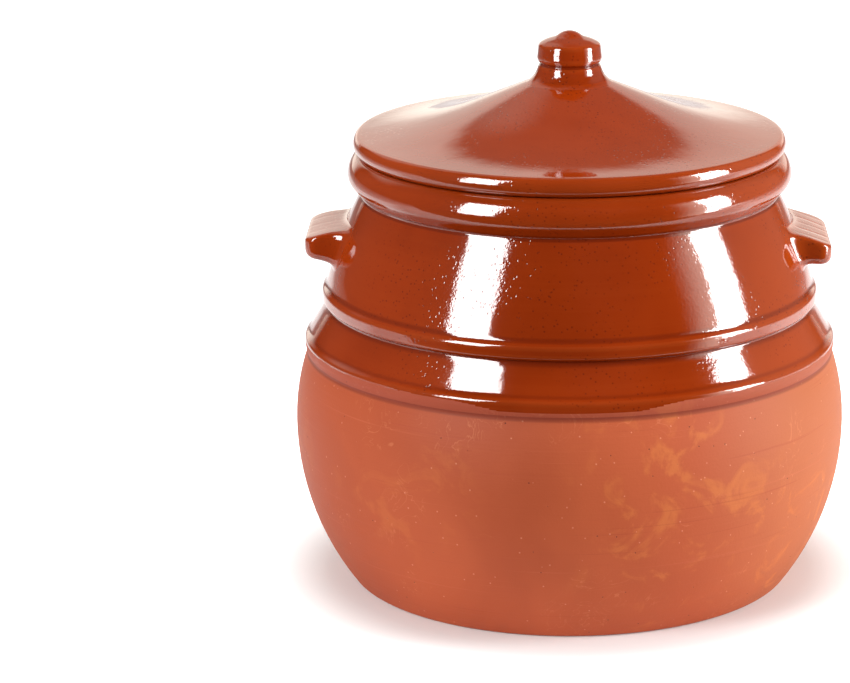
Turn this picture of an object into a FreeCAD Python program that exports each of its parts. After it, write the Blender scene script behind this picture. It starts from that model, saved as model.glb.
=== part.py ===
import FreeCAD, Part

# Lidded clay cooking pot: a thrown vessel with two lugs luted to its shoulder, and a loose lid
# with a knob luted to its crown. Millimetres, +Z up. The origin is the middle of the flat that
# the pot stands on, and the lugs point along +X and -X.

import math
import os
from collections import namedtuple

import Sketcher

# Driving dimensions: name, value in mm, meaning. Heights are above the flat it stands on.
DIMENSIONS = [
    # Vessel
    ("base_radius", 108.4, "flat underside, before its edge is rounded"),
    ("foot_round", 4.0, "rounding of the edge it stands on"),
    ("belly_radius", 135.0, "widest part of the belly"),
    ("belly_height", 78.5, "height of the widest part"),
    ("wall", 8.5, "thickness of the wall"),
    ("floor_thickness", 9.0, "thickness of the floor"),
    ("floor_inset", 4.4, "from the underside's edge in to the corner of the floor inside"),
    ("floor_round", 14.0, "rounding of the corner between floor and wall inside"),
    ("lower_cordon_radius", 130.1, "crest of the lower cordon"),
    ("lower_cordon_rise", 39.4, "from the widest part up to that crest"),
    ("upper_cordon_radius", 121.4, "crest of the upper cordon"),
    ("cordon_spacing", 24.3, "from the lower crest up to the upper one"),
    ("cordon_under", 4.2, "from a cordon's crest down to the crease under it"),
    ("lower_cordon_lip", 1.2, "how far the lower cordon stands out over that crease"),
    ("upper_cordon_lip", 2.6, "how far the upper cordon stands out over that crease"),
    ("cordon_over", 3.3, "from a cordon's crest up to the hollow above it"),
    ("cordon_set_back", 1.1, "how far the foot of that hollow stands back from the crest"),
    ("cove_rise", 1.85, "height of the hollow, up to the wall"),
    ("cove_run", 1.2, "how far the hollow draws in, to the wall"),
    ("cove_radius", 7.0, "radius of the hollow"),
    ("shoulder_bow", 230.0, "radius of the shoulder's gentle outward bow"),
    ("neck_radius", 101.4, "narrowest part under the rim, outside"),
    ("shoulder_rise", 48.6, "from the upper crest to the shoulder's end, at the step under the rim"),
    ("neck_step", 1.1, "how far that step stands out"),
    ("neck_step_rise", 1.2, "height of the step"),
    ("lip_reach", 5.0, "how far the lower edge of the rim's roll stands out over the neck"),
    ("lip_rise", 6.5, "from the shoulder's end up to that edge"),
    ("rim_roll", 1.6, "how far the rim's roll swells out over its lower edge"),
    ("rim_roll_rise", 4.2, "from the lower edge up to the widest part"),
    ("rim_draw", 5.0, "how far the roll draws in again to the rim's flat top"),
    ("rim_top_rise", 10.0, "from the widest part up to the top, which the lid rests on"),
    ("rim_top_round", 3.5, "rounding of the rim's outer top edge"),
    ("rim_width", 7.5, "width of the rim's flat top"),
    ("mouth_round", 2.5, "rounding of the top's inner edge"),
    ("throat_draw", 3.2, "how far the opening draws in below the rim's top"),
    ("throat_drop", 11.0, "from the rim's top down to the narrowest part"),
    ("throat_round", 9.0, "rounding of the throat"),
    # Lugs
    ("handle_bed", 8.5, "how far inside the neck's radius a lug is drawn, before it is cut to its seat"),
    ("handle_straight", 11.0, "from the tip back to where its sides begin to flare"),
    ("handle_flare_run", 16.2, "length of that flare, to the root"),
    ("handle_flare", 10.2, "how much a side has flared out there"),
    ("handle_depth", 20.0, "how much deeper it is drawn at its root than at its tip"),
    ("handle_corner", 6.0, "rounding of the tip's corners, seen from above"),
    ("handle_edge", 1.6, "rounding of the edges round the top"),
    ("handle_under_edge", 4.6, "rounding of the edges round the underside"),
    ("left_handle_reach", 26.8, "from the neck's radius out to the left lug's tip"),
    ("left_handle_width", 51.0, "its width"),
    ("left_handle_drop", 18.2, "from the shoulder's end down to its tip"),
    ("left_handle_fall", 2.8, "how far its top falls from root to tip"),
    ("left_handle_crown", 60.0, "radius of its top's crown, from root to tip"),
    ("left_handle_thickness", 9.4, "its thickness at the tip"),
    ("left_handle_hollow", 60.0, "radius of the hollow beneath, where fingers go"),
    ("right_handle_reach", 25.4, "from the neck's radius out to the right lug's tip"),
    ("right_handle_width", 58.0, "its width"),
    ("right_handle_drop", 20.8, "from the shoulder's end down to its tip"),
    ("right_handle_fall", 9.4, "how far its top falls from root to tip"),
    ("right_handle_crown", 120.0, "radius of its top's crown, from root to tip"),
    ("right_handle_thickness", 11.2, "its thickness at the tip"),
    ("right_handle_hollow", 25.0, "radius of the hollow beneath, where fingers go"),
    # Lid
    ("seat_gap", 0.3, "between the rim's top and the lid"),
    ("lid_reach", 2.1, "how far the lid's edge stands out over the rim's flat top"),
    ("lid_edge_half", 4.6, "half of the edge's height"),
    ("lid_edge_under", 3.4, "how far the edge draws in to the underside"),
    ("lid_edge_over", 2.1, "how far the edge draws in to the top"),
    ("lid_edge_round", 2.5, "rounding between the edge and the top"),
    ("lid_sweep", 176.0, "radius of the top's hollow sweep"),
    ("cone_radius", 45.0, "where the sweep turns into the straight cone"),
    ("cone_rise", 23.9, "from the rim's top up to that turn"),
    ("crown_radius", 21.0, "top of the cone, where the knob sits"),
    ("crown_rise", 10.0, "from that turn up to the crown"),
    ("lid_thickness", 8.5, "thickness of the lid"),
    ("flange_play", 2.8, "between the lid's flange and the throat, all round"),
    ("flange_thickness", 6.0, "thickness of the flange that hangs in the mouth"),
    ("flange_depth", 7.0, "how far the flange hangs below the seat"),
    ("flange_round", 1.8, "rounding of the flange's lower edges"),
    # Knob
    ("stem_radius", 15.0, "top of the knob's stem"),
    ("stem_height", 7.1, "from the crown up to the top of the stem"),
    ("stem_flare", 10.5, "radius of the stem's flare"),
    ("groove_depth", 0.8, "how far the groove under the cap is cut in"),
    ("groove_width", 1.6, "height of that groove"),
    ("cap_foot_radius", 15.1, "lower edge of the cap"),
    ("cap_radius", 15.7, "widest part of the cap"),
    ("cap_swell", 2.2, "from the cap's lower edge up to its widest part"),
    ("cap_top_radius", 15.0, "upper edge of the cap's side"),
    ("cap_side", 6.8, "from the widest part up to that edge"),
    ("cap_top_round", 1.6, "rounding of that edge"),
    ("cap_dome", 17.0, "radius of the cap's domed top"),
    ("nipple_radius", 6.4, "foot of the nipple on the cap"),
    ("nipple_foot", 4.3, "from the side's upper edge up to that foot"),
    ("nipple_height", 4.0, "height of the nipple"),
    ("nipple_cove", 2.5, "hollow round the nipple's foot"),
]

# Which way an arc bends as it is drawn, and the angles in degrees that the lugs point at
LEFT_TURN = 1
RIGHT_TURN = -1
TO_THE_RIGHT = 0
TO_THE_LEFT = 180
WHOLE_TURN = 360
# Two places closer than this are the same place
NEAR = 1e-4


# The sizes in which one hand-made lug differs from the other
Lug = namedtuple("Lug", "reach width drop fall crown thickness hollow")


class Size:
    """A size from the sheet, or a sum of sizes, that knows its value and its expression."""

    def __init__(self, value, text):
        self.value = value
        self.text = text

    def __add__(self, other):
        return Size(self.value + other.value, f"{self.text} + {other.text}")

    def __sub__(self, other):
        return Size(self.value - other.value, f"{self.text} - ({other.text})")

    def __truediv__(self, number):
        return Size(self.value / number, f"({self.text}) / {number}")


class Sizes:
    """The sheet of driving dimensions, each read as an attribute."""

    def __init__(self, document):
        sheet = document.addObject("Spreadsheet::Sheet", "sizes")
        for row, (name, value, meaning) in enumerate(DIMENSIONS, start=1):
            sheet.set(f"A{row}", name)
            sheet.set(f"B{row}", str(value))
            sheet.set(f"C{row}", meaning)
            sheet.setAlias(f"B{row}", name)
            setattr(self, name, Size(value, f"sizes.{name}"))
        document.recompute()


class Outline:
    """A closed outline in a sketch. A corner is a pair of sizes, and 0 puts it on the axis."""

    def __init__(self, body, name, plane, start):
        self.sketch = body.newObject("Sketcher::SketchObject", name)
        self.sketch.AttachmentSupport = (origin_plane(body, plane), [""])
        self.sketch.MapMode = "FlatFace"
        self.start = start
        self.corner = start
        self.first_end = None
        self.last_end = None

    def line(self, corner):
        """Draw a straight edge to the corner."""
        edge = Part.LineSegment(spot(self.corner), spot(corner))
        self.join(self.sketch.addGeometry(edge, False), 1, 2, corner)

    def arc_about_height(self, corner, height):
        """Draw an arc to the corner whose centre lies at the given height."""
        here = spot(self.corner)
        there = spot(corner)
        rise = (there.y - height.value) ** 2 - (here.y - height.value) ** 2
        across = (there.x ** 2 - here.x ** 2 + rise) / (2 * (there.x - here.x))
        index = self.arc(corner, FreeCAD.Vector(across, height.value, 0))
        self.hold_distance("DistanceY", index, 3, height)

    def arc_about_across(self, corner, across):
        """Draw an arc to the corner whose centre lies straight above or below the given place."""
        here = spot(self.corner)
        there = spot(corner)
        reach = (there.x - across.value) ** 2 - (here.x - across.value) ** 2
        up = (there.y ** 2 - here.y ** 2 + reach) / (2 * (there.y - here.y))
        index = self.arc(corner, FreeCAD.Vector(across.value, up, 0))
        self.hold_distance("DistanceX", index, 3, across)

    def arc_about_axis(self, corner):
        """Draw an arc to the corner whose centre lies on the axis."""
        here = spot(self.corner)
        there = spot(corner)
        reach = there.x ** 2 - here.x ** 2
        up = (there.y ** 2 - here.y ** 2 + reach) / (2 * (there.y - here.y))
        index = self.arc(corner, FreeCAD.Vector(0, up, 0))
        self.sketch.addConstraint(Sketcher.Constraint("PointOnObject", index, 3, -2))

    def arc_of_radius(self, corner, radius, turn):
        """Draw an arc to the corner with the given radius, turning left or right on the way."""
        here = spot(self.corner)
        there = spot(corner)
        chord = there - here
        aside = FreeCAD.Vector(-chord.y, chord.x, 0).normalize()
        offset = math.sqrt(radius.value ** 2 - (chord.Length / 2) ** 2)
        index = self.arc(corner, (here + there) / 2 + aside * offset * turn)
        constraint = self.sketch.addConstraint(Sketcher.Constraint("Radius", index, radius.value))
        self.sketch.setExpression(f"Constraints[{constraint}]", radius.text)

    def arc(self, corner, centre):
        """Add the shorter arc about the centre, and return its index."""
        here = spot(self.corner) - centre
        there = spot(corner) - centre
        circle = Part.Circle(centre, FreeCAD.Vector(0, 0, 1), here.Length)
        angles = (math.atan2(here.y, here.x), math.atan2(there.y, there.x))
        if here.cross(there).z > 0:
            index = self.sketch.addGeometry(Part.ArcOfCircle(circle, *angles), False)
            self.join(index, 1, 2, corner)
        else:
            index = self.sketch.addGeometry(Part.ArcOfCircle(circle, *reversed(angles)), False)
            self.join(index, 2, 1, corner)
        return index

    def close(self):
        """Draw the last straight edge, back to the start."""
        edge = Part.LineSegment(spot(self.corner), spot(self.start))
        index = self.sketch.addGeometry(edge, False)
        self.meet((index, 1), self.last_end)
        self.meet((index, 2), self.first_end)
        self.hold(*self.first_end, self.start)

    def join_up(self):
        """Tie the last edge, already drawn back to the start, to the first."""
        self.meet(self.first_end, self.last_end)

    def join(self, index, begin, end, corner):
        """Tie a new edge to the one before it and hold its far end at the corner."""
        if self.last_end is None:
            self.first_end = (index, begin)
        else:
            self.meet((index, begin), self.last_end)
        self.last_end = (index, end)
        self.hold(index, end, corner)
        self.corner = corner

    def meet(self, one, other):
        """Make two ends coincide."""
        self.sketch.addConstraint(Sketcher.Constraint("Coincident", *one, *other))

    def hold(self, index, end, corner):
        """Hold an end at its corner, by distances or on an axis of the sketch."""
        for kind, size, axis in (("DistanceX", corner[0], -2), ("DistanceY", corner[1], -1)):
            if size == 0:
                self.sketch.addConstraint(Sketcher.Constraint("PointOnObject", index, end, axis))
            else:
                self.hold_distance(kind, index, end, size)

    def hold_distance(self, kind, index, end, size):
        """Hold one distance of a point from the origin at a size of the sheet."""
        rule = Sketcher.Constraint(kind, -1, 1, index, end, size.value)
        constraint = self.sketch.addConstraint(rule)
        self.sketch.setExpression(f"Constraints[{constraint}]", size.text)


def spot(corner):
    """The point of a corner in the sketch."""
    across, up = (0 if size == 0 else size.value for size in corner)
    return FreeCAD.Vector(across, up, 0)


def origin_plane(body, role):
    """One of the body's own origin planes."""
    return next(feature for feature in body.Origin.OriginFeatures if feature.Role == role)


def new_body(document, label):
    """An empty body whose label names its file."""
    body = document.addObject("PartDesign::Body", label)
    body.Label = label
    return body


def revolve(body, outline, kind="PartDesign::Revolution"):
    """Turn an outline once round the axis, as an addition or as a cut."""
    feature = body.newObject(kind, f"{outline.sketch.Name}_turned")
    feature.Profile = outline.sketch
    feature.ReferenceAxis = (outline.sketch, ["V_Axis"])
    feature.Angle = WHOLE_TURN
    body.Document.recompute()
    return feature


def round_edges(body, name, radius, wanted):
    """Round the edges of the body so far for which the test holds."""
    base = body.Tip
    names = [f"Edge{number}" for number, edge in enumerate(base.Shape.Edges, start=1) if wanted(edge)]
    if not names:
        raise RuntimeError(f"{body.Label}: no edge found for {name}")
    fillet = body.newObject("PartDesign::Fillet", name)
    fillet.Base = (base, names)
    fillet.setExpression("Radius", radius.text)
    body.Document.recompute()
    return fillet


def ring_at(*corners):
    """A test for turned edges that lie at one of the corners."""
    def wanted(edge):
        if edge.Degenerated or not isinstance(edge.Curve, Part.Circle):
            return False
        found = FreeCAD.Vector(edge.Curve.Radius, edge.Curve.Center.z, 0)
        return any(found.isEqual(spot(corner), NEAR) for corner in corners)
    return wanted


def lower_crest(s):
    """The crest of the lower cordon."""
    return s.lower_cordon_radius, s.belly_height + s.lower_cordon_rise


def upper_crest(s):
    """The crest of the upper cordon."""
    return s.upper_cordon_radius, lower_crest(s)[1] + s.cordon_spacing


def neck_height(s):
    """The height at which the shoulder ends."""
    return upper_crest(s)[1] + s.shoulder_rise


def rim_height(s):
    """The height of the rim's flat top."""
    return neck_height(s) + s.lip_rise + s.rim_roll_rise + s.rim_top_rise


def rim_top_radius(s):
    """The outer edge of the rim's flat top."""
    return s.neck_radius + s.lip_reach + s.rim_roll - s.rim_draw


def throat_radius(s):
    """The narrowest part of the opening."""
    return rim_top_radius(s) - s.rim_width - s.throat_draw


def crown_height(s):
    """The height at which the knob sits on the lid."""
    return rim_height(s) + s.cone_rise + s.crown_rise


def wall_over(crest, s):
    """Where the wall goes on above a cordon's crest."""
    inward = s.cordon_set_back + s.cove_run
    return crest[0] - inward, crest[1] + s.cordon_over + s.cove_rise


def shoulder_top(s):
    """Where the shoulder ends, at the step under the rim."""
    return s.neck_radius + s.neck_step, neck_height(s)


def cordon(outline, crest, s):
    """Draw a thrown cordon: its round underside, its crest, its round top and the hollow above."""
    outline.arc_about_height(crest, crest[1])
    outline.arc_about_height((crest[0] - s.cordon_set_back, crest[1] + s.cordon_over), crest[1])
    outline.arc_of_radius(wall_over(crest, s), s.cove_radius, RIGHT_TURN)


def make_pot_body(document, s):
    """The thrown vessel: foot, belly, two cordons, shoulder and rolled rim, open at the top."""
    body = new_body(document, "pot_body")
    lower = lower_crest(s)
    upper = upper_crest(s)
    lower_crease = (lower[0] - s.lower_cordon_lip, lower[1] - s.cordon_under)
    upper_crease = (upper[0] - s.upper_cordon_lip, upper[1] - s.cordon_under)
    band_foot = wall_over(lower, s)
    shoulder_foot = wall_over(upper, s)
    lip = (s.neck_radius + s.lip_reach, neck_height(s) + s.lip_rise)
    roll = (lip[0] + s.rim_roll, lip[1] + s.rim_roll_rise)
    rim_outer = (rim_top_radius(s), rim_height(s))
    rim_inner = (rim_top_radius(s) - s.rim_width, rim_height(s))
    throat = (throat_radius(s), rim_height(s) - s.throat_drop)
    floor_corner = (s.base_radius - s.floor_inset, s.floor_thickness)

    profile = Outline(body, "vessel_profile", "XZ_Plane", (0, 0))
    profile.line((s.base_radius, 0))
    profile.arc_about_height((s.belly_radius, s.belly_height), s.belly_height)
    profile.arc_about_height(lower_crease, s.belly_height)
    cordon(profile, lower, s)
    profile.line(upper_crease)
    cordon(profile, upper, s)
    profile.arc_of_radius(shoulder_top(s), s.shoulder_bow, LEFT_TURN)
    profile.line((s.neck_radius, neck_height(s) + s.neck_step_rise))
    profile.line(lip)
    profile.arc_about_height(roll, roll[1])
    profile.arc_about_height(rim_outer, roll[1])
    profile.line(rim_inner)
    profile.line(throat)
    profile.line((s.neck_radius - s.wall, neck_height(s)))
    profile.line((shoulder_foot[0] - s.wall, shoulder_foot[1]))
    profile.line((upper_crease[0] - s.wall, upper_crease[1]))
    profile.line((band_foot[0] - s.wall, band_foot[1]))
    profile.line((lower_crease[0] - s.wall, lower_crease[1]))
    profile.arc_about_height((s.belly_radius - s.wall, s.belly_height), s.belly_height)
    profile.arc_about_height(floor_corner, s.belly_height)
    profile.line((0, s.floor_thickness))
    profile.close()
    revolve(body, profile)

    round_edges(body, "foot_edge", s.foot_round, ring_at((s.base_radius, 0)))
    round_edges(body, "floor_corner", s.floor_round, ring_at(floor_corner))
    round_edges(body, "rim_top_edge", s.rim_top_round, ring_at(rim_outer))
    round_edges(body, "mouth_edge", s.mouth_round, ring_at(rim_inner))
    round_edges(body, "throat_edge", s.throat_round, ring_at(throat))
    return body


def make_handle(document, s, label, lug, turned):
    """A lug: a drooping ledge that flares onto the shoulder, hollowed beneath and cut to seat on it."""
    body = new_body(document, label)
    tip = s.neck_radius + lug.reach
    tip_top = neck_height(s) - lug.drop
    tip_foot = tip_top - lug.thickness
    root = s.neck_radius - s.handle_bed

    side = Outline(body, f"{label}_side", "XZ_Plane", (root, tip_top + lug.fall))
    side.line((root, tip_foot - s.handle_depth))
    side.arc_of_radius((tip, tip_foot), lug.hollow, RIGHT_TURN)
    side.line((tip, tip_top))
    side.arc_of_radius((root, tip_top + lug.fall), lug.crown, LEFT_TURN)
    side.join_up()
    block = body.newObject("PartDesign::Pad", f"{label}_block")
    block.Profile = side.sketch
    block.SideType = "Symmetric"
    block.setExpression("Length", (lug.width + s.handle_flare + s.handle_flare).text)
    document.recompute()

    flank = tip - s.handle_straight
    half = lug.width / 2
    clear = tip + s.handle_corner
    plan = Outline(body, f"{label}_flank", "XY_Plane", (clear, half - s.handle_corner))
    plan.line((tip, half - s.handle_corner))
    plan.arc_of_radius((tip - s.handle_corner, half), s.handle_corner, LEFT_TURN)
    plan.line((flank, half))
    plan.arc_about_across((flank - s.handle_flare_run, half + s.handle_flare), flank)
    plan.line((flank - s.handle_flare_run, lug.width))
    plan.line((clear, lug.width))
    plan.close()
    taper = body.newObject("PartDesign::Pocket", f"{label}_taper")
    taper.Profile = plan.sketch
    taper.Type = "ThroughAll"
    taper.SideType = "Symmetric"
    document.recompute()
    tapers = body.newObject("PartDesign::Mirrored", f"{label}_tapers")
    tapers.Originals = [taper]
    tapers.MirrorPlane = (origin_plane(body, "XZ_Plane"), [""])
    body.Tip = tapers
    document.recompute()

    def off_root(edge):
        return max(vertex.X for vertex in edge.Vertexes) > (flank - s.handle_flare_run).value + NEAR

    def top_edge(edge):
        return off_root(edge) and min(vertex.Z for vertex in edge.Vertexes) > tip_top.value - NEAR

    def under_edge(edge):
        return off_root(edge) and max(vertex.Z for vertex in edge.Vertexes) < tip_foot.value + NEAR

    round_edges(body, f"{label}_under_edges", s.handle_under_edge, under_edge)
    round_edges(body, f"{label}_top_edges", s.handle_edge, top_edge)

    shoulder_foot = wall_over(upper_crest(s), s)
    below = lower_crest(s)[1]
    seat = Outline(body, f"{label}_seat", "XZ_Plane", (0, below))
    seat.line((shoulder_foot[0], below))
    seat.line(shoulder_foot)
    seat.arc_of_radius(shoulder_top(s), s.shoulder_bow, LEFT_TURN)
    seat.line((0, neck_height(s)))
    seat.close()
    revolve(body, seat, "PartDesign::Groove")

    body.Placement = FreeCAD.Placement(FreeCAD.Vector(), FreeCAD.Rotation(FreeCAD.Vector(0, 0, 1), turned))
    return body


def make_lid(document, s):
    """The turned lid: a disc with a swept top, hollow beneath, and a flange that keeps it centred."""
    body = new_body(document, "lid")
    seat_height = rim_height(s) + s.seat_gap
    edge_height = seat_height + s.lid_edge_half
    lid_radius = rim_top_radius(s) + s.lid_reach
    top_edge = (lid_radius - s.lid_edge_over, edge_height + s.lid_edge_half)
    flange_outer = throat_radius(s) - s.flange_play
    flange_inner = flange_outer - s.flange_thickness
    flange_foot = seat_height - s.flange_depth
    hollow_edge = (flange_inner, seat_height + s.lid_edge_half / 2)
    cone_foot = (s.cone_radius, rim_height(s) + s.cone_rise)
    crown = (s.crown_radius, crown_height(s))

    profile = Outline(body, "lid_profile", "XZ_Plane", (0, crown[1] - s.lid_thickness))
    profile.line((crown[0], crown[1] - s.lid_thickness))
    profile.line((cone_foot[0], cone_foot[1] - s.lid_thickness))
    profile.arc_of_radius(hollow_edge, s.lid_sweep + s.lid_thickness, LEFT_TURN)
    profile.line((flange_inner, flange_foot))
    profile.line((flange_outer, flange_foot))
    profile.line((flange_outer, seat_height))
    profile.line((lid_radius - s.lid_edge_under, seat_height))
    profile.arc_about_height((lid_radius, edge_height), edge_height)
    profile.arc_about_height(top_edge, edge_height)
    profile.arc_of_radius(cone_foot, s.lid_sweep, RIGHT_TURN)
    profile.line(crown)
    profile.line((0, crown[1]))
    profile.close()
    revolve(body, profile)

    flange_edges = ring_at((flange_inner, flange_foot), (flange_outer, flange_foot))
    round_edges(body, "lid_top_edge", s.lid_edge_round, ring_at(top_edge))
    round_edges(body, "flange_edges", s.flange_round, flange_edges)
    return body


def make_lid_knob(document, s):
    """The knob: a flared stem, a groove, and a cap with a low nipple."""
    body = new_body(document, "lid_knob")
    stem_top = crown_height(s) + s.stem_height
    groove_radius = s.stem_radius - s.groove_depth
    cap_foot = stem_top + s.groove_width
    cap_widest = cap_foot + s.cap_swell
    cap_edge = (s.cap_top_radius, cap_widest + s.cap_side)
    nipple_foot = (s.nipple_radius, cap_edge[1] + s.nipple_foot)

    profile = Outline(body, "knob_profile", "XZ_Plane", (0, crown_height(s)))
    profile.line((s.crown_radius, crown_height(s)))
    profile.arc_of_radius((s.stem_radius, stem_top), s.stem_flare, RIGHT_TURN)
    profile.line((groove_radius, stem_top + s.groove_width / 4))
    profile.line((groove_radius, cap_foot - s.groove_width / 4))
    profile.line((s.cap_foot_radius, cap_foot))
    profile.arc_about_height((s.cap_radius, cap_widest), cap_widest)
    profile.line(cap_edge)
    profile.arc_of_radius(nipple_foot, s.cap_dome, LEFT_TURN)
    profile.arc_about_axis((0, nipple_foot[1] + s.nipple_height))
    profile.close()
    revolve(body, profile)

    round_edges(body, "cap_top_edge", s.cap_top_round, ring_at(cap_edge))
    round_edges(body, "nipple_foot", s.nipple_cove, ring_at(nipple_foot))
    return body


def check(document, bodies):
    """Stop before anything is written if an object failed or a shape is not sound."""
    for thing in document.Objects:
        if "Invalid" in thing.State or "Error" in thing.State:
            raise RuntimeError(f"{thing.Label} failed: {thing.State}")
    for body in bodies:
        if body.Shape.isNull() or not body.Shape.isValid() or len(body.Shape.Solids) != 1:
            raise RuntimeError(f"{body.Label} is not one sound solid")


def main():
    document = FreeCAD.newDocument("clay_pot")
    s = Sizes(document)
    left_lug = Lug(
        s.left_handle_reach, s.left_handle_width, s.left_handle_drop, s.left_handle_fall,
        s.left_handle_crown, s.left_handle_thickness, s.left_handle_hollow,
    )
    right_lug = Lug(
        s.right_handle_reach, s.right_handle_width, s.right_handle_drop, s.right_handle_fall,
        s.right_handle_crown, s.right_handle_thickness, s.right_handle_hollow,
    )
    bodies = [
        make_pot_body(document, s),
        make_handle(document, s, "left_handle", left_lug, TO_THE_LEFT),
        make_handle(document, s, "right_handle", right_lug, TO_THE_RIGHT),
        make_lid(document, s),
        make_lid_knob(document, s),
    ]
    document.recompute()
    check(document, bodies)
    os.makedirs("parts", exist_ok=True)
    for body in bodies:
        body.Shape.exportStep(f"parts/{body.Label}.step")
        print(f"{body.Label}: {body.Shape.Volume / 1000:.1f} cm3")


main()
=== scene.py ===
import math

import bmesh
import bpy
from mathutils import Matrix, Vector, noise


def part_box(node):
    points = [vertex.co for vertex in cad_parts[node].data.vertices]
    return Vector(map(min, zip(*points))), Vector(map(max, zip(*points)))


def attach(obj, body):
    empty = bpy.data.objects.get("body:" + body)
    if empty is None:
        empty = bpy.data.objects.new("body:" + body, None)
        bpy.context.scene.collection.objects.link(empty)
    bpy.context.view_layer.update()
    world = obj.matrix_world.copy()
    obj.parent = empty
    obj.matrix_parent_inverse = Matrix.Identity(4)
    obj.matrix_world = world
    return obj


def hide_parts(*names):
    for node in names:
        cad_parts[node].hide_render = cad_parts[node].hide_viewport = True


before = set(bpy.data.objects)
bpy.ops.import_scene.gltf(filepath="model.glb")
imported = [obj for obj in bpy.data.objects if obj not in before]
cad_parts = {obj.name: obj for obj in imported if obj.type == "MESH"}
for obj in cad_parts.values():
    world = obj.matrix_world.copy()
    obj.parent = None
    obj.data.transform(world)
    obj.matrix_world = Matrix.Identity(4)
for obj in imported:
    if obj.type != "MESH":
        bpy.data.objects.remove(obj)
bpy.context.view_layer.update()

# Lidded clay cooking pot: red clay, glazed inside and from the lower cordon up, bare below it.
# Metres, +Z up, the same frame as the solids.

# Turning
TURNS = 240                       # steps round a turned piece
SEAM = 1e-6                       # points closer than this are one point
DIGITS = 5                        # places on a section are told apart by this many decimals
STRAIGHT = math.radians(0.3)      # a section that turns less than this runs straight on
LONGEST_STEP = 0.0030             # longest edge of a section before it is turned
FINE_STEP = 0.0004                # the same where a section is reworked
SETTLING = 3                      # passes that even out the facets of a reworked section
CORNER_ANGLE = math.radians(16)   # a section turns more than this only at a corner
CORNER_SOFTNESS = 0.0007          # how far a corner is rounded by glaze and fingers
CORNER_FACETS = 4
BEND_REACH = 0.0016               # the bend of a section is measured over this far each way
BEND_FULL = 0.00022               # a rise over its chord that counts as a full bend

# The cordons as the thrower's rib left them: the heights that each reaches over, a radius inside
# the wall there, and its flanks above, over, on and under the bead, each as a height, the radius
# there and the slope
CORDONS = (
    (0.1381, 0.1500, 0.1148,
     (0.1477, 0.1190, -0.30), (0.1477, 0.1190, -0.90), (0.1432, 0.1212, 0.0),
     (0.1380, 0.1188, 1.20)),
    (0.1138, 0.1250, 0.1249,
     (0.12305, 0.1278, -0.60), (0.1231, 0.1278, -1.25), (0.1190, 0.1300, -0.02),
     (0.1137, 0.1289, 0.36)),
)
SOFT_JOIN = 0.0008                # how softly two flanks run into each other

# The neck, in the same way: the shoulder's top is its one flank and runs straight on to the
# groove under the rim
NECK = (0.1890, 0.1945, 0.0985, (0.1908, 0.1025, -0.49))

# The glaze's lower edge, which lies under the lower cordon's bead
GLAZE_END = 0.1167                # its height in front
GLAZE_RISE = 0.0034               # how much higher it lies round the sides and the back
GLAZE_FRONT = 12                  # degrees round from the front that it stays low for
GLAZE_CLIMB = 14                  # degrees that it climbs over
GLAZE_WOBBLE = 0.0002             # how uneven it is
GLAZE_WAVES = 60                  # and how often it wavers
FOOT = 0.001                      # below this height the vessel is all bare

# The knob's heights as built, and where its cap and groove lie on this hand-made one
KNOB_HEIGHTS = (
    (0.2000, 0.2000), (0.2454, 0.2454), (0.2525, 0.2541), (0.2537, 0.2553), (0.2625, 0.2634),
    (0.2640, 0.2649), (0.2714, 0.2706),
)
KNOB_SEAT = (0.0210, 0.2454)      # radius and height where the knob's foot meets the lid
NIPPLE_FOOT = 0.2651              # above this height the cap runs softly into its nipple
NIPPLE_PASSES = 30

# Lugs
CLAY_GRAIN = 0.0007               # mesh size of the luted lugs
CLAY_PASSES = 14                  # how far a lug's edges are rubbed soft
LUTING_REACH = 0.0130             # the luting is rubbed further up to this far from the wall
LUTING_PASSES = 110
SHOULDER = (0.1460, 0.1912)       # heights between which the shoulder's radius is measured
BED_BOTTOM = 0.1500               # the stretch of wall that a lug is luted to
BED_TOP = 0.1892
BED_TURN = math.radians(27)       # how far that bed reaches round to each side
BED_DEPTH = 0.0050                # how deep it goes on inside the wall
BED_STEPS = 40
FEATHER = 0.0016                  # the luting thins out to the wall over this height
FEATHER_SINK = 0.00020            # and ends this far under it

# Marks of dragging fingers on a lug's top
FINGER_MARKS = {                  # how many marks each lug has, and their depth
    "left_handle": (4.5, 0.00005),
    "right_handle": (6.0, 0.00012),
}
TOP_SLOPE = 0.5                   # a surface that faces up more than this is a lug's top
MARK_DRIFT = 0.0020               # how far the marks wander sideways
MARK_WAVES = 70                   # and how often
MARK_START = 0.0040               # they deepen over this far from the wall
MARK_END = 0.0030                 # and fade over this far from the tip
MARK_CHANGE = (0.7, 1.2, 130)     # their mean depth, how much it changes, and how often

# The photograph's frame and its camera
FRAME_WIDTH = 850
FRAME_HEIGHT = 683
SENSOR = 36.0
LENS_PIXELS = 3500
POT_PIXEL = (569.5, 360.0)        # where the camera's aim lies in the frame
AIM_HEIGHT = 0.1053
CAMERA_DISTANCE = 1.7315
CAMERA_ELEVATION = math.radians(16.0)

# The studio: each softbox's name, degrees round from the camera's side and up, distance, width,
# height and watts, and whether the glaze mirrors it
SOFTBOXES = (
    ("left_softbox", -46.5, 22.5, 1.6, 0.55, 1.20, 22, True),
    ("right_softbox", 79, 10, 1.6, 0.47, 1.36, 31, True),
    ("overhead", 180, 82, 1.5, 1.0, 1.0, 11.5, False),
    ("front_fill", 20, 35, 1.8, 1.0, 1.0, 4, False),
)
LIT_PLACE = Vector((0, 0, 0.12))  # what the softboxes face
WARM_WHITE = (1.0, 0.97, 0.86, 1)
WHITE = (1, 1, 1, 1)
TABLE_WHITE = (0.8, 0.8, 0.8, 1)
TABLE_SIZE = 8.0
TABLE_FRONT = 0.20                # the table ends this far before the pot's axis


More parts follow.
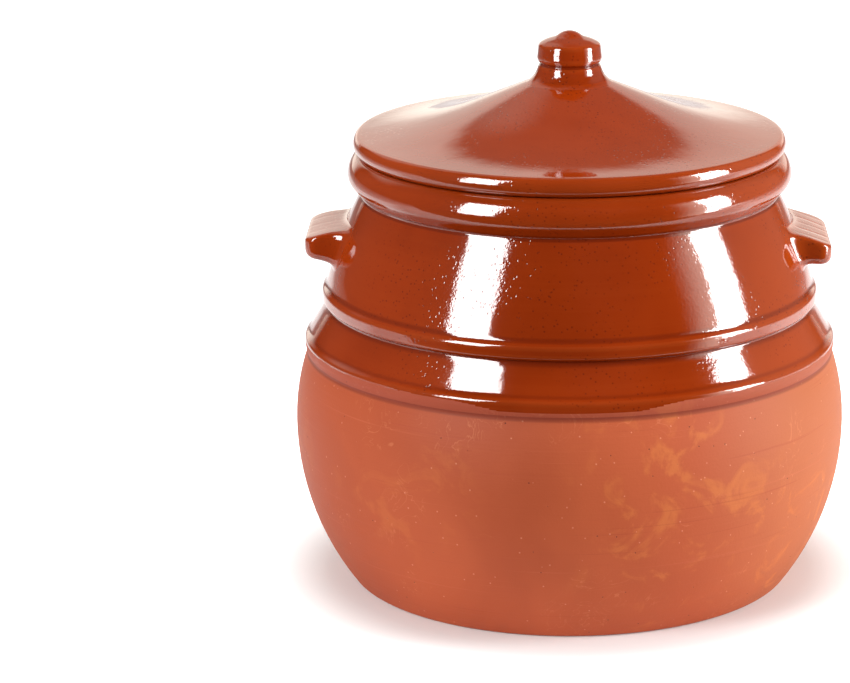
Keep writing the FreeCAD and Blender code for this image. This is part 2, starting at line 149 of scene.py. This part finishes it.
def linear(red, green, blue):
    """A colour as seen on a screen, 0 to 255, as linear values with an alpha of 1."""
    def channel(value):
        share = value / 255
        return share / 12.92 if share <= 0.04045 else ((share + 0.055) / 1.055) ** 2.4
    return channel(red), channel(green), channel(blue), 1.0


# The glaze and the clay, each with the tones that lie over it, painted light and shade among them
GLAZE_BROWN = linear(146, 46, 4)
GLAZE_CLOUD = linear(160, 54, 9)
GLAZE_PAINTED_RIGHT_LIGHT = linear(186, 76, 22)
GLAZE_STREAK = linear(168, 64, 18)
GLAZE_CREST = linear(182, 82, 32)
GLAZE_POOL_AND_PAINTED_SHADE = linear(100, 24, 3)
GLAZE_SPECK = linear(62, 18, 8)
GLAZE_PINHOLE = linear(88, 24, 8)
CLAY_RED = linear(182, 84, 51)
CLAY_CLOUD = linear(196, 94, 58)
CLAY_PAINTED_RIGHT_SHEEN = linear(196, 122, 80)
CLAY_PATCH = linear(222, 128, 68)
CLAY_CURL = linear(232, 146, 100)
CLAY_GROOVE = linear(176, 76, 52)
CLAY_RIDGE = linear(216, 118, 86)
CLAY_PALE_GRAIN = linear(236, 164, 128)
CLAY_DARK_GRAIN = linear(92, 40, 30)
CLAY_BY_GLAZE = linear(168, 78, 62)
CLAY_PAINTED_CREASE_SHADE = linear(124, 48, 34)


def eased(share):
    """A share kept from 0 to 1, with a soft start and a soft end."""
    share = min(max(share, 0.0), 1.0)
    return share * share * (3 - 2 * share)


class Batch:
    """A node tree while it is put together."""

    def __init__(self, tree):
        self.nodes = tree.nodes
        self.links = tree.links
        self.nodes.clear()

    def add(self, kind, inputs=None, **settings):
        """Add a node with its settings. An input is a number, a colour or another node's output."""
        node = self.nodes.new(kind)
        for name, value in settings.items():
            setattr(node, name, value)
        for name, value in (inputs or {}).items():
            self.feed(node.inputs[name], value)
        return node

    def feed(self, socket, value):
        """Set a socket, or join another node's output to it."""
        if isinstance(value, bpy.types.NodeSocket):
            self.links.new(value, socket)
        else:
            socket.default_value = value

    def math(self, operation, one, other=0.0):
        """One sum on two values."""
        return self.add("ShaderNodeMath", {0: one, 1: other}, operation=operation).outputs[0]

    def sum(self, one, other):
        """Two values added."""
        return self.math("ADD", one, other)

    def times(self, one, other):
        """Two values multiplied."""
        return self.math("MULTIPLY", one, other)

    def ramp(self, value, start, end, low=0.0, high=1.0):
        """The value from start to end turned into low to high, smoothly and no further."""
        return self.add("ShaderNodeMapRange", {
            "Value": value, "From Min": start, "From Max": end, "To Min": low, "To Max": high,
        }, interpolation_type="SMOOTHSTEP").outputs[0]


class Finish(Batch):
    """A material while it is mixed: one shader and the nodes that feed it."""

    def __init__(self, name):
        self.material = bpy.data.materials.new(name)
        self.material.use_nodes = True
        super().__init__(self.material.node_tree)
        self.shader = self.nodes.new("ShaderNodeBsdfPrincipled")
        output = self.nodes.new("ShaderNodeOutputMaterial")
        self.links.new(self.shader.outputs["BSDF"], output.inputs["Surface"])
        self.place = self.add("ShaderNodeTexCoord").outputs["Object"]

    def mixed(self, **inputs):
        """Set the shader's sockets and return the material. An underscore stands for a space."""
        for name, value in inputs.items():
            self.feed(self.shader.inputs[name.replace("_", " ")], value)
        return self.material

    def directions(self):
        """The place on the piece to the right, away and up."""
        return self.add("ShaderNodeSeparateXYZ", {"Vector": self.place}).outputs

    def bend(self):
        """How convex the piece is: 1 at a crest, 0 in a crease, 0.5 where plain."""
        return self.add("ShaderNodeAttribute", attribute_name="bend").outputs["Fac"]

    def stretched(self, level, up):
        """The place on the piece, with its two level directions and its height scaled."""
        scale = (level, level, up)
        return self.add("ShaderNodeMapping", {"Vector": self.place, "Scale": scale}).outputs[0]

    def cloud(self, scale, detail=2.0, roughness=0.5, distortion=0.0, place=None):
        """Soft noise from 0 to 1."""
        return self.add("ShaderNodeTexNoise", {
            "Vector": place or self.place, "Scale": scale, "Detail": detail,
            "Roughness": roughness, "Distortion": distortion,
        }).outputs[0]

    def grains(self, scale):
        """The distance to the nearest of many scattered points, in cells."""
        inputs = {"Vector": self.place, "Scale": scale}
        return self.add("ShaderNodeTexVoronoi", inputs).outputs["Distance"]

    def over(self, share, top, ground):
        """One colour over another, by a share."""
        inputs = {"Fac": share, "Color1": ground, "Color2": top}
        return self.add("ShaderNodeMixRGB", inputs).outputs[0]

    def relief(self, *heights):
        """The surface's direction from heights in metres, added up."""
        height = heights[0]
        for more in heights[1:]:
            height = self.sum(height, more)
        inputs = {"Height": height, "Strength": 1.0, "Distance": 1.0}
        return self.add("ShaderNodeBump", inputs).outputs[0]


def glaze():
    """Clear glaze over a red-brown slip: glossy, a little rippled, with pinholes and specks."""
    batch = Finish("red_brown_glaze")
    tone = batch.cloud(16, detail=3.0)
    right = batch.directions()["X"]
    streaks = batch.cloud(1.0, detail=3.0, place=batch.stretched(5, 420))
    colour = batch.over(batch.ramp(tone, 0.3, 0.7), GLAZE_CLOUD, GLAZE_BROWN)
    # Painted light: the glaze is lighter and more orange towards the right, where the right softbox
    # falls on it
    colour = batch.over(batch.ramp(right, 0.040, 0.110, 0.0, 0.5), GLAZE_PAINTED_RIGHT_LIGHT, colour)
    colour = batch.over(batch.ramp(streaks, 0.45, 0.75, 0.0, 0.12), GLAZE_STREAK, colour)

    # Thin over a crest; pooled in a crease, and darker there partly as painted shade
    bend = batch.bend()
    colour = batch.over(batch.ramp(bend, 0.55, 1.0, 0.0, 0.15), GLAZE_CREST, colour)
    # Pooled glaze in a crease, darkened further as painted shade of the crease
    colour = batch.over(batch.ramp(bend, 0.45, 0.0, 0.0, 0.6), GLAZE_POOL_AND_PAINTED_SHADE, colour)

    # Specks of iron, and pinholes in clouds
    specks = batch.times(batch.ramp(batch.grains(120), 0.05, 0.03), batch.ramp(tone, 0.45, 0.6))
    bursts = batch.ramp(batch.cloud(22), 0.36, 0.62)
    pinholes = batch.times(batch.ramp(batch.grains(430), 0.26, 0.10), bursts)
    colour = batch.over(batch.times(specks, 0.3), GLAZE_SPECK, colour)
    colour = batch.over(batch.times(pinholes, 0.6), GLAZE_PINHOLE, colour)

    # The skin: broad swells, small ripples, orange peel where it blistered, and the holes
    swell = batch.times(batch.cloud(38, detail=1.0), 0.00022)
    ripple = batch.times(batch.cloud(210), 0.000035)
    blistered = batch.math("MAXIMUM", bursts, batch.ramp(right, 0.020, 0.045, 0.0, 0.6))
    peel = batch.ramp(blistered, 0.0, 1.0, 0.000004, 0.000034)
    peel = batch.times(batch.cloud(760, detail=1.0), peel)
    holes = batch.times(pinholes, -0.00004)
    return batch.mixed(
        Base_Color=colour, Roughness=0.07, IOR=1.6, Specular_IOR_Level=1.0,
        Normal=batch.relief(swell, ripple, peel, holes),
    )


def bare_clay():
    """Bare fired clay: matte, with sponge marks, wheel lines, curls of slip and small grains."""
    batch = Finish("bare_red_clay")
    tone = batch.cloud(9, detail=3.0, distortion=0.6)
    right, _, height = batch.directions()
    colour = batch.over(batch.ramp(tone, 0.35, 0.7), CLAY_CLOUD, CLAY_RED)
    # Painted light and sheen: the clay is paler and more orange-yellow towards the right, where the
    # right softbox lights and grazes it
    colour = batch.over(batch.ramp(right, 0.050, 0.125, 0.0, 0.55), CLAY_PAINTED_RIGHT_SHEEN, colour)

    # Sponge marks, more of them on the right
    patches = batch.ramp(batch.cloud(34, detail=5.0, roughness=0.62, distortion=1.6), 0.50, 0.66)
    patches = batch.times(patches, batch.ramp(batch.cloud(11, detail=1.0), 0.46, 0.62))
    patches = batch.times(patches, batch.ramp(right, -0.06, 0.08, 0.2, 0.5))
    colour = batch.over(patches, CLAY_PATCH, colour)

    # Curls of slip, here and there
    curls = batch.sum(batch.cloud(46, distortion=3.2), -0.5)
    curls = batch.ramp(batch.math("ABSOLUTE", curls), 0.012, 0.002, 0.0, 0.25)
    curls = batch.times(curls, batch.ramp(batch.cloud(30), 0.56, 0.66))
    colour = batch.over(curls, CLAY_CURL, colour)

    # Lines of the wheel
    lines = batch.cloud(1.0, detail=4.0, roughness=0.7, place=batch.stretched(7, 620))
    colour = batch.over(batch.ramp(lines, 0.40, 0.30, 0.0, 0.35), CLAY_GROOVE, colour)
    colour = batch.over(batch.ramp(lines, 0.60, 0.75, 0.0, 0.30), CLAY_RIDGE, colour)

    # Grains
    pale_grains = batch.ramp(batch.grains(170), 0.085, 0.05)
    dark_grains = batch.ramp(batch.grains(118), 0.05, 0.03)
    colour = batch.over(batch.times(pale_grains, 0.45), CLAY_PALE_GRAIN, colour)
    colour = batch.over(batch.times(dark_grains, 0.8), CLAY_DARK_GRAIN, colour)

    # Darker next to the glaze, a stain, and painted shade in a crease
    colour = batch.over(batch.ramp(height, 0.1132, 0.1138, 0.0, 0.5), CLAY_BY_GLAZE, colour)
    # Painted shade: the bare clay is darkened in a crease
    colour = batch.over(batch.ramp(batch.bend(), 0.25, 0.0, 0.0, 0.6), CLAY_PAINTED_CREASE_SHADE, colour)

    tooth = batch.times(batch.cloud(900), 0.00006)
    rings = batch.times(lines, 0.00010)
    waves = batch.times(batch.cloud(40, detail=1.0), 0.0003)
    pits = batch.times(dark_grains, -0.0002)
    bumps = batch.times(pale_grains, 0.00008)
    return batch.mixed(
        Base_Color=colour, Roughness=batch.ramp(tone, 0.3, 0.7, 0.52, 0.60),
        Specular_IOR_Level=0.22, Normal=batch.relief(tooth, rings, waves, pits, bumps),
    )


def merged_copy(node):
    """The mesh of a node as one connected skin."""
    form = bmesh.new()
    form.from_mesh(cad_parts[node].data)
    bmesh.ops.remove_doubles(form, verts=form.verts, dist=SEAM)
    return form


def finished(form, name):
    """Make an object of a bmesh, shaded smooth but for its sharp edges."""
    for face in form.faces:
        face.smooth = True
    mesh = bpy.data.meshes.new(name)
    form.to_mesh(mesh)
    form.free()
    return in_scene(name, mesh)


def in_scene(name, data):
    """Put a mesh, a lamp or a camera into the scene as an object."""
    thing = bpy.data.objects.new(name, data)
    bpy.context.scene.collection.objects.link(thing)
    return thing


def dress(piece, material, node, body):
    """Give a piece its material, hide the node it stands for and hang the piece on its body."""
    piece.data.materials.append(material)
    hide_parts(node)
    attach(piece, body)


def to_seat(place):
    """The distance from where the knob's foot meets the lid."""
    return math.hypot(place.x - KNOB_SEAT[0], place.z - KNOB_SEAT[1])


def turn_at(vertex):
    """How much a section turns at a vertex."""
    if len(vertex.link_edges) != 2:
        return 0.0
    before, after = (edge.other_vert(vertex).co - vertex.co for edge in vertex.link_edges)
    return math.pi - before.angle(after, math.pi)


def is_reworked(node, place):
    """Whether a section gets fine steps at a place: all the knob, and the cordons and the neck."""
    return node == "lid_knob" or (node == "pot_body" and any(
        low < place.z < high and place.x > inside for low, high, inside, *_ in (*CORDONS, NECK)
    ))


def section(node):
    """The upright cut through a turned node, right of its axis, as a chain with soft corners."""
    form = merged_copy(node)
    for direction, both in (((0, 1, 0), True), ((1, 0, 0), False)):
        bmesh.ops.bisect_plane(
            form, geom=form.verts[:] + form.edges[:] + form.faces[:], dist=SEAM,
            plane_co=(0, 0, 0), plane_no=direction, clear_inner=True, clear_outer=both,
        )
    bmesh.ops.remove_doubles(form, verts=form.verts, dist=SEAM)
    bmesh.ops.dissolve_limit(form, angle_limit=STRAIGHT, verts=form.verts, edges=form.edges)
    corners = [
        vertex for vertex in form.verts
        if turn_at(vertex) > CORNER_ANGLE and to_seat(vertex.co) > CORNER_SOFTNESS
    ]
    bmesh.ops.bevel(
        form, geom=corners, offset=CORNER_SOFTNESS, offset_type="OFFSET", affect="VERTICES",
        segments=CORNER_FACETS, profile=0.5, material=-1,
    )
    for height in (end for low, high, *_ in CORDONS for end in (low, high)):
        bmesh.ops.bisect_plane(
            form, geom=form.verts[:] + form.edges[:], dist=SEAM,
            plane_co=(0, 0, height), plane_no=(0, 0, 1),
        )
    for edge in form.edges[:]:
        middle = (edge.verts[0].co + edge.verts[1].co) / 2
        longest = FINE_STEP if is_reworked(node, middle) else LONGEST_STEP
        cuts = int(edge.calc_length() / longest)
        if cuts:
            bmesh.ops.subdivide_edges(form, edges=[edge], cuts=cuts)
    if node == "pot_body":
        press_cordons(form)
        run_on_shoulder(form)
    if node == "lid_knob":
        draw_up_knob(form)
    settle(
        form, lambda place: is_reworked(node, place) and to_seat(place) > CORNER_SOFTNESS, SETTLING,
    )
    return form


def settle(form, chosen, passes):
    """Even out a section where it is chosen. Its two ends stay."""
    loose = [vertex for vertex in form.verts if len(vertex.link_edges) == 2 and chosen(vertex.co)]
    for _ in range(passes):
        bmesh.ops.smooth_vert(form, verts=loose, factor=0.5, use_axis_x=True, use_axis_z=True)


def radius_on(flank, height):
    """The radius of a flank at a height."""
    level, radius, slope = flank
    return radius + (height - level) * slope


def soft_least(one, other):
    """The smaller of two radii, with a soft run from one into the other."""
    share = max(SOFT_JOIN - abs(one - other), 0.0) / SOFT_JOIN
    return min(one, other) - share * share * SOFT_JOIN / 4


def press_cordons(form):
    """Give both cordons their bead, the cove above it and the crease below it."""
    for vertex in form.verts:
        height = vertex.co.z
        for low, high, inside, *flanks in CORDONS:
            if low < height < high and vertex.co.x > inside:
                above, over, on, under = (radius_on(flank, height) for flank in flanks)
                bead = soft_least(-soft_least(-above, -over), on)
                vertex.co.x = soft_least(bead, under)


def run_on_shoulder(form):
    """Run the shoulder's top straight on to the groove under the rim."""
    groove, inside, flank = NECK[1:]
    for vertex in form.verts:
        if flank[0] < vertex.co.z < groove and vertex.co.x > inside:
            vertex.co.x = max(vertex.co.x, radius_on(flank, vertex.co.z))


def draw_up_knob(form):
    """Move the knob's cap and groove to their heights and run the cap softly into its nipple."""
    for vertex in form.verts:
        height = vertex.co.z
        step = next(k for k in range(1, len(KNOB_HEIGHTS)) if height <= KNOB_HEIGHTS[k][0] + SEAM)
        (built, drawn), (next_built, next_drawn) = KNOB_HEIGHTS[step - 1], KNOB_HEIGHTS[step]
        vertex.co.z = drawn + (next_drawn - drawn) * (height - built) / (next_built - built)
    settle(form, lambda place: place.z > NIPPLE_FOOT, NIPPLE_PASSES)


def chain(form):
    """The places of a section in order, from its lower end."""
    ends = [vertex for vertex in form.verts if len(vertex.link_edges) == 1]
    here = min(ends, key=lambda vertex: vertex.co.z)
    order = [here.co.copy()]
    came_by = None
    while True:
        onward = [edge for edge in here.link_edges if edge is not came_by]
        if not onward:
            return order
        came_by = onward[0]
        here = came_by.other_vert(here)
        order.append(here.co.copy())


def spot(out, height):
    """A place on a section, by which its bend is looked up."""
    return round(out, DIGITS), round(height, DIGITS)


def bends(form):
    """How convex a section is at each place: 1 at a crest, 0 in a crease, 0.5 where plain."""
    order = chain(form)
    along = [0.0]
    for before, after in zip(order, order[1:]):
        along.append(along[-1] + (after - before).length)

    def at(distance):
        distance = min(max(distance, 0.0), along[-1])
        step = next((k for k in range(1, len(along)) if along[k] >= distance), len(along) - 1)
        share = (distance - along[step - 1]) / (along[step] - along[step - 1])
        return order[step - 1].lerp(order[step], share)

    found = {}
    for place, distance in zip(order, along):
        before, after = at(distance - BEND_REACH), at(distance + BEND_REACH)
        chord = (after - before).normalized()
        outward = Vector((chord.z, 0.0, -chord.x))
        rise = (place - (before + after) / 2).dot(outward)
        if to_seat(place) < 2 * BEND_REACH or place.z > NIPPLE_FOOT:
            rise = 0.0
        found[spot(place.x, place.z)] = min(max(0.5 + rise / BEND_FULL / 2, 0.0), 1.0)
    return found


def turned(node, name):
    """A turned piece from the section of a node: smooth but at the knob's seat, with its bend."""
    form = section(node)
    found = bends(form)
    bmesh.ops.spin(
        form, geom=form.verts[:] + form.edges[:], cent=(0, 0, 0), axis=(0, 0, 1),
        angle=math.tau, steps=TURNS, use_merge=True, dvec=(0, 0, 0),
    )
    bmesh.ops.remove_doubles(form, verts=form.verts, dist=SEAM)
    bmesh.ops.recalc_face_normals(form, faces=form.faces)
    layer = form.verts.layers.float.new("bend")
    at_seat = set()
    for vertex in form.verts:
        out, height = math.hypot(vertex.co.x, vertex.co.y), vertex.co.z
        vertex[layer] = found.get(spot(out, height), 0.5)
        if to_seat(Vector((out, 0, height))) < 10 * SEAM:
            at_seat.add(vertex)
    for edge in form.edges:
        edge.smooth = not at_seat.issuperset(edge.verts)
    return finished(form, name)


def glaze_edge(place):
    """The height of the glaze's edge: low in front, higher round the sides, a little uneven."""
    turn = abs(math.degrees(math.atan2(place.x, -place.y)))
    height = GLAZE_END + GLAZE_RISE * eased((turn - GLAZE_FRONT) / GLAZE_CLIMB)
    return height + GLAZE_WOBBLE * noise.noise(place * GLAZE_WAVES)


def vessel(glazed, bare):
    """The thrown vessel, glazed inside and down to the lower cordon's bead."""
    piece = turned("pot_body", "thrown_vessel")
    dress(piece, glazed, "pot_body", "pot")
    piece.data.materials.append(bare)
    for face in piece.data.polygons:
        level = Vector((face.center.x, face.center.y, 0))
        outside = face.normal.dot(level) > 0 or face.center.z < FOOT
        if outside and face.center.z < glaze_edge(face.center):
            face.material_index = 1


def shoulder():
    """A function that gives the shoulder's outer radius at a height."""
    form = section("pot_body")
    order = chain(form)
    form.free()
    top = max(range(len(order)), key=lambda k: order[k].z)
    skins = [
        sorted((place.z, place.x) for place in skin if SHOULDER[0] < place.z < SHOULDER[1])
        for skin in (order[:top], order[top:])
    ]
    outer = max(skins, key=lambda skin: sum(out for _, out in skin) / len(skin))

    def radius(height):
        height = min(max(height, outer[0][0]), outer[-1][0])
        step = next(k for k in range(1, len(outer)) if outer[k][0] >= height)
        (low, start), (high, end) = outer[step - 1], outer[step]
        return start + (end - start) * (height - low) / (high - low)
    return radius


def bed(side, radius):
    """The outer part of the vessel's wall that a lug is luted to, as the mesh of a closed block."""
    heights = [
        BED_BOTTOM + (BED_TOP - BED_BOTTOM) * step / BED_STEPS for step in range(BED_STEPS + 1)
    ]
    outline = [(radius(height), height) for height in heights]
    outline += [(radius(height) - BED_DEPTH, height) for height in reversed(heights)]
    form = bmesh.new()
    corners = [form.verts.new((side * out, 0, height)) for out, height in outline]
    for before, after in zip(corners, corners[1:] + corners[:1]):
        form.edges.new((before, after))
    start = Matrix.Rotation(-BED_TURN, 3, "Z")
    bmesh.ops.rotate(form, verts=form.verts, cent=(0, 0, 0), matrix=start)
    bmesh.ops.spin(
        form, geom=form.verts[:] + form.edges[:], cent=(0, 0, 0), axis=(0, 0, 1),
        angle=2 * BED_TURN, steps=BED_STEPS, use_merge=False, dvec=(0, 0, 0),
    )
    bmesh.ops.holes_fill(form, edges=[edge for edge in form.edges if edge.is_boundary])
    bmesh.ops.recalc_face_normals(form, faces=form.faces)
    mesh = bpy.data.meshes.new("bed")
    form.to_mesh(mesh)
    form.free()
    return mesh


def one_lump(node, block):
    """A lug and its bed made one object of evenly meshed clay."""
    form = merged_copy(node)
    form.from_mesh(block)
    bpy.data.meshes.remove(block)
    lump = finished(form, node + "_lump")
    remesh = lump.modifiers.new("clay", "REMESH")
    remesh.mode = "VOXEL"
    remesh.voxel_size = CLAY_GRAIN
    return lump


def rubbed(lump, part, passes):
    """The mesh of a lump rubbed smooth, in the part that is marked or all over. The lump goes."""
    smooth = lump.modifiers.new("fingers", "SMOOTH")
    smooth.factor = 0.5
    smooth.iterations = passes
    smooth.vertex_group = part
    done = lump.evaluated_get(bpy.context.evaluated_depsgraph_get())
    mesh = bpy.data.meshes.new_from_object(done)
    bpy.data.objects.remove(lump)
    return mesh


def luted(lump, radius):
    """The mesh of a lump with soft edges, and with the clay at its root drawn onto the wall."""
    mesh = rubbed(lump, "", CLAY_PASSES)
    lump = in_scene("luting", mesh)
    root = lump.vertex_groups.new(name="root")
    for vertex in mesh.vertices:
        rise = math.hypot(vertex.co.x, vertex.co.y) - radius(vertex.co.z)
        root.add([vertex.index], eased(1 - rise / LUTING_REACH), "REPLACE")
    return rubbed(lump, "root", LUTING_PASSES)


def finger_marks(node, side, low, high):
    """A function that gives the depth of the finger marks at a place on a lug's top."""
    count, depth = FINGER_MARKS[node]
    tip = max(abs(low[0]), abs(high[0]))
    width = high[1] - low[1]
    mean, change, often = MARK_CHANGE

    def mark(place, rise):
        across = place.y + MARK_DRIFT * noise.noise(place * MARK_WAVES)
        share = max(math.cos(math.tau * count * across / width), 0.0) ** 2
        share *= mean + change * noise.noise(Vector((7.0, place.y * often, side)))
        share *= min(rise / MARK_START, 1.0) * min((tip - abs(place.x)) / MARK_END, 1.0)
        return depth * share
    return mark


def lug_piece(node, glazed, radius):
    """A lug luted to the shoulder: soft edges, a cove of clay round its root, marks on top."""
    low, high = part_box(node)
    side = 1 if low[0] > 0 else -1
    mark = finger_marks(node, side, low, high)
    mesh = luted(one_lump(node, bed(side, radius)), radius)
    form = bmesh.new()
    form.from_mesh(mesh)
    bpy.data.meshes.remove(mesh)
    form.normal_update()
    layer = form.verts.layers.float.new("bend")
    for vertex in form.verts:
        vertex[layer] = 0.5
        level = Vector((vertex.co.x, vertex.co.y, 0))
        rise = level.length - radius(vertex.co.z)
        if vertex.normal.z > TOP_SLOPE and rise > 0:
            vertex.co.z -= mark(vertex.co, rise)
        sunk = max(rise - FEATHER_SINK * (1 - eased(rise / FEATHER)), -BED_DEPTH)
        vertex.co += level.normalized() * (sunk - rise)
    bmesh.ops.recalc_face_normals(form, faces=form.faces)
    dress(finished(form, "luted_" + node), glazed, node, "pot")


def softbox(name, azimuth, elevation, distance, width, height, power, mirrored):
    """A softbox that faces the pot. Azimuth 0 is at the camera's side, positive to the right."""
    lamp = bpy.data.lights.new(name, "AREA")
    lamp.shape = "RECTANGLE"
    lamp.size = width
    lamp.size_y = height
    lamp.energy = power
    turn, rise = math.radians(azimuth), math.radians(elevation)
    level = math.cos(rise)
    away = Vector((math.sin(turn) * level, -math.cos(turn) * level, math.sin(rise)))
    holder = in_scene(name, lamp)
    holder.location = LIT_PLACE + away * distance
    holder.rotation_euler = (-away).to_track_quat("-Z", "Y").to_euler()
    holder.visible_glossy = mirrored


def studio():
    """Soft studio light: the softboxes in a dim warm room, which the camera sees as white."""
    for values in SOFTBOXES:
        softbox(*values)
    world = bpy.data.worlds.new("studio")
    bpy.context.scene.world = world
    world.use_nodes = True
    batch = Batch(world.node_tree)
    way = batch.add("ShaderNodeTexCoord").outputs["Generated"]
    across, along, up = batch.add("ShaderNodeSeparateXYZ", {"Vector": way}).outputs

    # Radians round from the camera's side, positive to the right, and the same to either side
    turn = batch.math("ARCTAN2", across, batch.times(along, -1.0))
    behind = batch.math("ABSOLUTE", turn)

    # The backdrop behind the pot, brightest near the table
    backdrop = batch.times(batch.ramp(behind, 2.53, 2.72), batch.ramp(up, 0.42, 0.55, 1.0, 0.0))
    backdrop = batch.times(backdrop, batch.ramp(up, 0.05, 0.20, 1.6, 1.0))
    backdrop = batch.times(backdrop, batch.ramp(across, -0.25, 0.25, 1.15, 0.9))

    # The ceiling over it, lighter at its left end
    left_end = batch.times(batch.ramp(turn, -1.9, -2.4), batch.ramp(turn, -2.95, -2.70))
    ceiling = batch.sum(batch.times(left_end, 0.45), batch.ramp(behind, 1.9, 2.5, 0.0, 0.13))
    ceiling = batch.times(ceiling, batch.ramp(up, 0.30, 0.50))
    ceiling = batch.times(ceiling, batch.ramp(up, 0.80, 0.93, 1.0, 0.3))

    # The two side walls
    right_wall = batch.ramp(along, -0.15, 0.05, 0.0, 0.2)
    right_wall = batch.times(batch.ramp(across, 0.5, 0.75), right_wall)
    left_wall = batch.ramp(along, -0.6, -0.45, 0.0, 0.05)
    left_wall = batch.times(batch.ramp(across, -0.5, -0.75), left_wall)

    # The glow on the wall in front of the right softbox
    glow = batch.ramp(turn, 0.95, 1.27, 0.0, 2.2)
    glow = batch.times(glow, batch.ramp(turn, 1.27, 1.30, 1.0, 0.0))
    glow = batch.times(glow, batch.ramp(up, -0.45, -0.32))
    glow = batch.times(glow, batch.ramp(up, 0.60, 0.45))

    room = batch.math("MAXIMUM", batch.math("MAXIMUM", backdrop, ceiling),
                      batch.math("MAXIMUM", right_wall, left_wall))
    strength = batch.sum(batch.sum(room, 0.02), glow)
    around = batch.add("ShaderNodeBackground", {"Color": WARM_WHITE, "Strength": strength})
    white = batch.add("ShaderNodeBackground", {"Color": WHITE, "Strength": 1.0})
    seen = batch.add("ShaderNodeLightPath").outputs["Is Camera Ray"]
    mix = batch.add("ShaderNodeMixShader", {0: seen, 1: around.outputs[0], 2: white.outputs[0]})
    batch.add("ShaderNodeOutputWorld", {"Surface": mix.outputs[0]})


def table_top():
    """The table under the pot: white to the camera and to the glaze, but for a soft shadow, partly
    cast by the lamps and partly painted as a dimmer ring round the pot.
    """
    form = bmesh.new()
    bmesh.ops.create_grid(form, x_segments=1, y_segments=1, size=TABLE_SIZE / 2)
    bmesh.ops.translate(form, verts=form.verts, vec=(0, TABLE_SIZE / 2 - TABLE_FRONT, 0))
    floor = finished(form, "floor")
    batch = Finish("white_sweep")
    across, depth, _ = batch.directions()
    away = batch.add("ShaderNodeVectorMath", {0: batch.place}, operation="LENGTH").outputs["Value"]
    path = batch.add("ShaderNodeLightPath").outputs
    # Painted shade: the table's white glow to the camera is weaker near the pot, a dim ring round
    # its foot
    seen = batch.times(path["Is Camera Ray"], batch.ramp(away, 0.11, 0.185, 0.12, 1.0))
    mirrored = batch.times(path["Is Glossy Ray"], batch.ramp(depth, -0.02, 0.12, 0.0, 0.8))
    mirrored = batch.times(mirrored, batch.ramp(batch.math("ABSOLUTE", across), 0.6, 0.8, 1.0, 0.1))
    floor.data.materials.append(batch.mixed(
        Base_Color=TABLE_WHITE, Roughness=0.9,
        Emission_Color=WHITE, Emission_Strength=batch.sum(seen, mirrored),
    ))


def camera():
    """The camera at the photograph's viewing angle."""
    data = bpy.data.cameras.new("camera")
    data.sensor_width = SENSOR
    data.lens = LENS_PIXELS / FRAME_WIDTH * SENSOR
    data.shift_x = -(POT_PIXEL[0] - FRAME_WIDTH / 2) / FRAME_WIDTH
    data.shift_y = (POT_PIXEL[1] - FRAME_HEIGHT / 2) / FRAME_WIDTH
    back = Vector((0, -math.cos(CAMERA_ELEVATION), math.sin(CAMERA_ELEVATION)))
    holder = in_scene("camera", data)
    holder.location = Vector((0, 0, AIM_HEIGHT)) + back * CAMERA_DISTANCE
    holder.rotation_euler = (-back).to_track_quat("-Z", "Y").to_euler()
    bpy.context.scene.camera = holder


glazed = glaze()
vessel(glazed, bare_clay())
dress(turned("lid", "turned_lid"), glazed, "lid", "lid")
dress(turned("lid_knob", "turned_knob"), glazed, "lid_knob", "lid")
shoulder_radius = shoulder()
for label in ("left_handle", "right_handle"):
    lug_piece(label, glazed, shoulder_radius)
studio()
table_top()
camera()
bpy.context.scene.view_settings.view_transform = "Standard"
